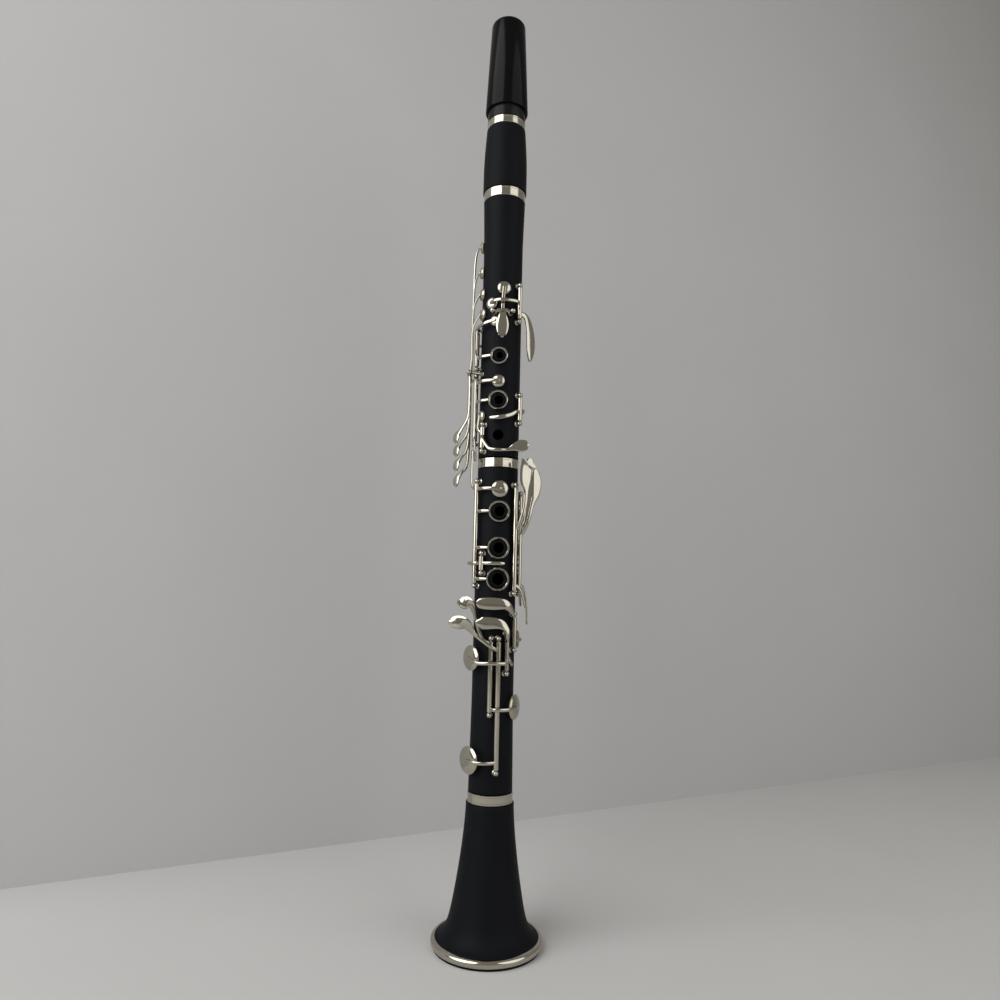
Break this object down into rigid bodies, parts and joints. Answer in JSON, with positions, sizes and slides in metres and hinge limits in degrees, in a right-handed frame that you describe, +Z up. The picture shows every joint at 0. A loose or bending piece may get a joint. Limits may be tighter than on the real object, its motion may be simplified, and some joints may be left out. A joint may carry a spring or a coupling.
{
  "type": "clarinet",
  "caption": "Black clarinet standing on its bell, with nickel rings and keys that turn on rods between posts, a mouthpiece cap that pulls off and a barrel that slides for tuning.",
  "frame": {"origin": "centre of the bell's foot, on the surface it stands on", "axes": "+Z up along the bore; the finger holes face -Y"},
  "size_m": [0.0768, 0.0768, 0.6846],
  "materials": {
    "black_body": "satin black",
    "gloss_black": "polished black",
    "nickel_plate": "bright nickel plate",
    "rod_steel": "polished steel",
    "cork": "sheet cork",
    "cane": "bare cane"
  },
  "bodies": {
    "instrument_body": {"bell": "black_body", "lower_joint": "black_body", "upper_joint": "black_body", "thumb_tube": "black_body", "lower_joint_cork": "cork", "upper_joint_top_cork": "cork", "upper_joint_bottom_cork": "cork", "bell_socket_ring": "nickel_plate", "bell_rim_ring": "nickel_plate", "lower_joint_socket_ring": "nickel_plate", "thumb_rest": "nickel_plate", "register_tube": "nickel_plate", "upper_ring_key_hinge": "rod_steel", "throat_a_key_hinge": "rod_steel", "throat_g_sharp_key_hinge": "rod_steel", "register_key_hinge": "rod_steel", "trill_key_hinge": "rod_steel", "c_sharp_g_sharp_key_hinge": "rod_steel", "e_flat_b_flat_key_hinge": "rod_steel", "lower_ring_key_hinge": "rod_steel", "b_f_sharp_key_hinge": "rod_steel", "low_e_key_hinge": "rod_steel", "low_f_key_hinge": "rod_steel", "f_sharp_c_sharp_key_hinge": "rod_steel", "a_flat_e_flat_key_hinge": "rod_steel", "left_e_lever_hinge": "rod_steel", "left_f_lever_hinge": "rod_steel", "left_f_sharp_lever_hinge": "rod_steel"},
    "head": {"barrel": "black_body", "barrel_bottom_ring": "nickel_plate", "barrel_top_ring": "nickel_plate", "mouthpiece": "black_body", "mouthpiece_tenon_cork": "cork", "reed": "cane", "ligature": "nickel_plate"},
    "cap": {"mouthpiece_cap": "gloss_black"},
    "lower_screw": {"ligature_screw_lower": "nickel_plate"},
    "upper_screw": {"ligature_screw_upper": "nickel_plate"},
    "first_finger_ring_key": {"first_finger_ring_key": "nickel_plate"},
    "second_finger_ring_key": {"second_finger_ring_key": "nickel_plate"},
    "thumb_ring_key": {"thumb_ring_key": "nickel_plate"},
    "throat_a_key": {"throat_a_key": "nickel_plate"},
    "throat_g_sharp_key": {"throat_g_sharp_key": "nickel_plate"},
    "register_key": {"register_key": "nickel_plate"},
    "trill_key_1": {"trill_key_1": "nickel_plate"},
    "trill_key_2": {"trill_key_2": "nickel_plate"},
    "trill_key_3": {"trill_key_3": "nickel_plate"},
    "trill_key_4": {"trill_key_4": "nickel_plate"},
    "c_sharp_g_sharp_key": {"c_sharp_g_sharp_key": "nickel_plate"},
    "e_flat_b_flat_key": {"e_flat_b_flat_key": "nickel_plate"},
    "lower_ring_key": {"lower_ring_key": "nickel_plate"},
    "b_f_sharp_key": {"b_f_sharp_key": "nickel_plate"},
    "low_e_key": {"low_e_key": "nickel_plate"},
    "low_f_key": {"low_f_key": "nickel_plate"},
    "f_sharp_c_sharp_key": {"f_sharp_c_sharp_key": "nickel_plate"},
    "a_flat_e_flat_key": {"a_flat_e_flat_key": "nickel_plate"},
    "left_e_lever": {"left_e_lever": "nickel_plate"},
    "left_f_lever": {"left_f_lever": "nickel_plate"},
    "left_f_sharp_lever": {"left_f_sharp_lever": "nickel_plate"}
  },
  "joints": [
    {"name": "tuning_slide", "type": "slide", "parent": "instrument_body", "child": "head", "axis": [0, 0, 1], "range_m": [0, 0.003]},
    {"name": "cap_pull", "type": "slide", "parent": "head", "child": "cap", "axis": [0, 0, 1], "range_m": [0, 0.085]},
    {"name": "lower_screw_turn", "type": "hinge", "parent": "head", "child": "lower_screw", "pos_m": [0, 0.0115, 0.6193], "axis": [1, 0, 0], "continuous": true},
    {"name": "upper_screw_turn", "type": "hinge", "parent": "head", "child": "upper_screw", "pos_m": [0, 0.0115, 0.6273], "axis": [1, 0, 0], "continuous": true},
    {"name": "first_finger_ring_key_turn", "type": "hinge", "parent": "instrument_body", "child": "first_finger_ring_key", "pos_m": [-0.01777, -0.0025, 0.4052], "axis": [0, 0, 1], "range_deg": [0, 2.9], "stiffness_Nm_per_rad": 0.05, "springref_deg": -11.46},
    {"name": "second_finger_ring_key_turn", "type": "hinge", "parent": "instrument_body", "child": "second_finger_ring_key", "pos_m": [-0.01777, -0.0025, 0.3482], "axis": [0, 0, 1], "range_deg": [0, 2.9], "stiffness_Nm_per_rad": 0.05, "springref_deg": -11.46},
    {"name": "thumb_ring_key_turn", "type": "hinge", "parent": "instrument_body", "child": "thumb_ring_key", "pos_m": [-0.01777, -0.0025, 0.4178], "axis": [0, 0, -1], "range_deg": [0, 2.9], "stiffness_Nm_per_rad": 0.05, "springref_deg": -11.46},
    {"name": "throat_a_key_turn", "type": "hinge", "parent": "instrument_body", "child": "throat_a_key", "pos_m": [0, -0.01825, 0.443], "axis": [1, 0, 0], "range_deg": [0, 8], "stiffness_Nm_per_rad": 0.05, "springref_deg": -11.46},
    {"name": "throat_g_sharp_key_turn", "type": "hinge", "parent": "instrument_body", "child": "throat_g_sharp_key", "pos_m": [0.01313, -0.01224, 0.4392], "axis": [0, 0, 1], "range_deg": [0, 7], "stiffness_Nm_per_rad": 0.05, "springref_deg": -11.46},
    {"name": "register_key_turn", "type": "hinge", "parent": "instrument_body", "child": "register_key", "pos_m": [0, 0.01825, 0.46], "axis": [-1, 0, 0], "range_deg": [0, 5], "stiffness_Nm_per_rad": 0.05, "springref_deg": -11.46},
    {"name": "trill_key_1_turn", "type": "hinge", "parent": "instrument_body", "child": "trill_key_1", "pos_m": [-0.0228, -0.0072, 0.398], "axis": [0, -1, 0], "range_deg": [0, 3], "stiffness_Nm_per_rad": 0.05, "springref_deg": -11.46},
    {"name": "trill_key_2_turn", "type": "hinge", "parent": "instrument_body", "child": "trill_key_2", "pos_m": [-0.0228, -0.0024, 0.398], "axis": [0, -1, 0], "range_deg": [0, 3], "stiffness_Nm_per_rad": 0.05, "springref_deg": -11.46},
    {"name": "trill_key_3_turn", "type": "hinge", "parent": "instrument_body", "child": "trill_key_3", "pos_m": [-0.0228, 0.0024, 0.398], "axis": [0, -1, 0], "range_deg": [0, 2], "stiffness_Nm_per_rad": 0.05, "springref_deg": -11.46},
    {"name": "trill_key_4_turn", "type": "hinge", "parent": "instrument_body", "child": "trill_key_4", "pos_m": [-0.0228, 0.0072, 0.398], "axis": [0, -1, 0], "range_deg": [0, 2], "stiffness_Nm_per_rad": 0.05, "springref_deg": -11.46},
    {"name": "c_sharp_g_sharp_key_turn", "type": "hinge", "parent": "instrument_body", "child": "c_sharp_g_sharp_key", "pos_m": [-0.01201, -0.01334, 0.3417], "axis": [0, 0, 1], "range_deg": [0, 6], "stiffness_Nm_per_rad": 0.05, "springref_deg": -11.46},
    {"name": "e_flat_b_flat_key_turn", "type": "hinge", "parent": "instrument_body", "child": "e_flat_b_flat_key", "pos_m": [0.01488, -0.01004, 0.3622], "axis": [0, 0, -1], "range_deg": [0, 5], "stiffness_Nm_per_rad": 0.05, "springref_deg": -11.46},
    {"name": "lower_ring_key_turn", "type": "hinge", "parent": "instrument_body", "child": "lower_ring_key", "pos_m": [-0.01488, -0.01004, 0.2452], "axis": [0, 0, 1], "range_deg": [0, 3.4], "stiffness_Nm_per_rad": 0.05, "springref_deg": -11.46},
    {"name": "b_f_sharp_key_turn", "type": "hinge", "parent": "instrument_body", "child": "b_f_sharp_key", "pos_m": [-0.0103, -0.0147, 0.2542], "axis": [0, 0, 1], "range_deg": [0, 8], "stiffness_Nm_per_rad": 0.05, "springref_deg": -11.46},
    {"name": "low_e_key_turn", "type": "hinge", "parent": "instrument_body", "child": "low_e_key", "pos_m": [0.00356, -0.01831, 0.1192], "axis": [0, 0, -1], "range_deg": [0, 9], "stiffness_Nm_per_rad": 0.05, "springref_deg": -11.46},
    {"name": "low_f_key_turn", "type": "hinge", "parent": "instrument_body", "child": "low_f_key", "pos_m": [0.00924, -0.01539, 0.1852], "axis": [0, 0, -1], "range_deg": [0, 9], "stiffness_Nm_per_rad": 0.05, "springref_deg": -11.46},
    {"name": "f_sharp_c_sharp_key_turn", "type": "hinge", "parent": "instrument_body", "child": "f_sharp_c_sharp_key", "pos_m": [-0.00181, -0.01725, 0.1572], "axis": [0, 0, -1], "range_deg": [0, 9], "stiffness_Nm_per_rad": 0.05, "springref_deg": -11.46},
    {"name": "a_flat_e_flat_key_turn", "type": "hinge", "parent": "instrument_body", "child": "a_flat_e_flat_key", "pos_m": [0.01414, -0.01105, 0.2012], "axis": [0, 0, -1], "range_deg": [0, 8], "stiffness_Nm_per_rad": 0.05, "springref_deg": -11.46},
    {"name": "left_e_lever_turn", "type": "hinge", "parent": "instrument_body", "child": "left_e_lever", "pos_m": [0.01334, -0.01201, 0.2402], "axis": [0, 0, 1], "range_deg": [0, 9], "stiffness_Nm_per_rad": 0.05, "springref_deg": -11.46},
    {"name": "left_f_lever_turn", "type": "hinge", "parent": "instrument_body", "child": "left_f_lever", "pos_m": [0.01687, -0.00614, 0.2402], "axis": [0, 0, 1], "range_deg": [0, 9], "stiffness_Nm_per_rad": 0.05, "springref_deg": -11.46},
    {"name": "left_f_sharp_lever_turn", "type": "hinge", "parent": "instrument_body", "child": "left_f_sharp_lever", "pos_m": [0.01687, 0.00614, 0.2402], "axis": [0, 0, 1], "range_deg": [0, 9], "stiffness_Nm_per_rad": 0.05, "springref_deg": -11.46}
  ],
  "couplings": [
    {"joint": "first_finger_ring_key_turn", "follows": "thumb_ring_key_turn", "ratio": 1},
    {"joint": "second_finger_ring_key_turn", "follows": "lower_ring_key_turn", "ratio": 0.85},
    {"joint": "left_e_lever_turn", "follows": "low_e_key_turn", "ratio": 1},
    {"joint": "left_f_lever_turn", "follows": "low_f_key_turn", "ratio": 1},
    {"joint": "left_f_sharp_lever_turn", "follows": "f_sharp_c_sharp_key_turn", "ratio": 1}
  ]
}
